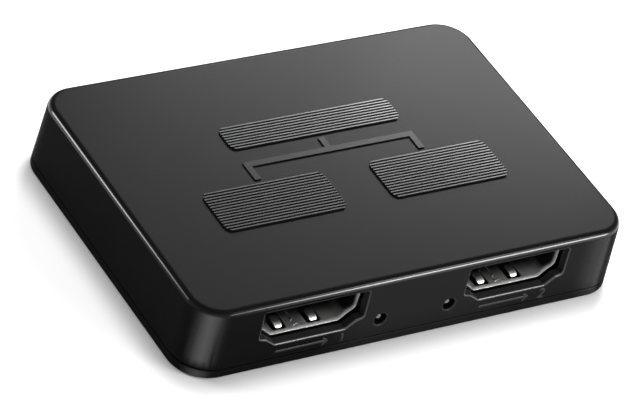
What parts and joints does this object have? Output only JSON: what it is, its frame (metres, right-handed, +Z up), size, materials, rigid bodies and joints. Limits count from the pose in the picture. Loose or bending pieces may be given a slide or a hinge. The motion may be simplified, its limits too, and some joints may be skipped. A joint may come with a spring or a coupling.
{
  "type": "video splitter",
  "caption": "Flat round-cornered black case that copies one video input at the rear to a pair of video outputs at the front, with a light beside each output.",
  "frame": {"origin": "centre of the case's underside, on the surface it stands on", "axes": "+X to the right along the output side, +Y from the outputs to the input, +Z up"},
  "size_m": [0.066, 0.046, 0.0106],
  "materials": {
    "case_plastic": "black moulded, fine matt texture",
    "screw_steel": "zinc plated",
    "board_resist": "black solder resist on glass laminate",
    "socket_steel": "nickel-plated sheet",
    "spring_steel": "nickel-plated spring sheet",
    "socket_nylon": "black moulded",
    "contact_gold": "gold flash",
    "light_white": "white moulded",
    "light_clear": "clear dome, unlit",
    "chip_epoxy": "black moulded epoxy",
    "lead_tin": "tin plated",
    "ferrite": "dark grey ferrite",
    "ceramic": "fired ceramic",
    "can_aluminium": "drawn aluminium"
  },
  "bodies": {
    "root": {"top_cover": "case_plastic", "bottom_cover": "case_plastic", "case_screws": "screw_steel", "main_board": "board_resist", "output_1_socket_shell": "socket_steel", "output_2_socket_shell": "socket_steel", "input_socket_shell": "socket_steel", "power_socket_shell": "socket_steel", "output_1_socket_insulator": "socket_nylon", "output_2_socket_insulator": "socket_nylon", "input_socket_insulator": "socket_nylon", "power_socket_insulator": "socket_nylon", "bulk_capacitor_bases": "socket_nylon", "output_1_socket_contacts": "contact_gold", "output_2_socket_contacts": "contact_gold", "input_socket_contacts": "contact_gold", "power_socket_contacts": "contact_gold", "output_1_light_body": "light_white", "output_2_light_body": "light_white", "power_light_body": "light_white", "output_1_light_lens": "light_clear", "output_2_light_lens": "light_clear", "power_light_lens": "light_clear", "splitter_chip": "chip_epoxy", "memory_chip": "chip_epoxy", "regulator": "chip_epoxy", "surge_arrays": "chip_epoxy", "chip_resistors": "chip_epoxy", "splitter_chip_leads": "lead_tin", "memory_chip_leads": "lead_tin", "regulator_leads": "lead_tin", "power_inductor_ends": "lead_tin", "chip_capacitor_ends": "lead_tin", "chip_resistor_ends": "lead_tin", "crystal_lid": "lead_tin", "power_inductor": "ferrite", "chip_capacitors": "ceramic", "crystal_base": "ceramic", "bulk_capacitor_cans": "can_aluminium"},
    "output_1_lower_fingers": {"output_1_lower_springs": "spring_steel"},
    "output_1_upper_fingers": {"output_1_upper_springs": "spring_steel"},
    "output_2_lower_fingers": {"output_2_lower_springs": "spring_steel"},
    "output_2_upper_fingers": {"output_2_upper_springs": "spring_steel"},
    "input_lower_fingers": {"input_lower_springs": "spring_steel"},
    "input_upper_fingers": {"input_upper_springs": "spring_steel"}
  },
  "joints": [
    {"name": "output_1_lower_flex", "type": "hinge", "parent": "root", "child": "output_1_lower_fingers", "pos_m": [-0.0156, -0.01547, 0.00386], "axis": [1, 0, 0], "range_deg": [0, 3], "stiffness_Nm_per_rad": 0.256},
    {"name": "output_1_upper_flex", "type": "hinge", "parent": "root", "child": "output_1_upper_fingers", "pos_m": [-0.0156, -0.01547, 0.00864], "axis": [-1, 0, 0], "range_deg": [0, 3], "stiffness_Nm_per_rad": 0.256},
    {"name": "output_2_lower_flex", "type": "hinge", "parent": "root", "child": "output_2_lower_fingers", "pos_m": [0.015, -0.01547, 0.00386], "axis": [1, 0, 0], "range_deg": [0, 3], "stiffness_Nm_per_rad": 0.256},
    {"name": "output_2_upper_flex", "type": "hinge", "parent": "root", "child": "output_2_upper_fingers", "pos_m": [0.015, -0.01547, 0.00864], "axis": [-1, 0, 0], "range_deg": [0, 3], "stiffness_Nm_per_rad": 0.256},
    {"name": "input_lower_flex", "type": "hinge", "parent": "root", "child": "input_lower_fingers", "pos_m": [0, 0.01547, 0.00386], "axis": [-1, 0, 0], "range_deg": [0, 3], "stiffness_Nm_per_rad": 0.256},
    {"name": "input_upper_flex", "type": "hinge", "parent": "root", "child": "input_upper_fingers", "pos_m": [0, 0.01547, 0.00864], "axis": [1, 0, 0], "range_deg": [0, 3], "stiffness_Nm_per_rad": 0.256}
  ]
}
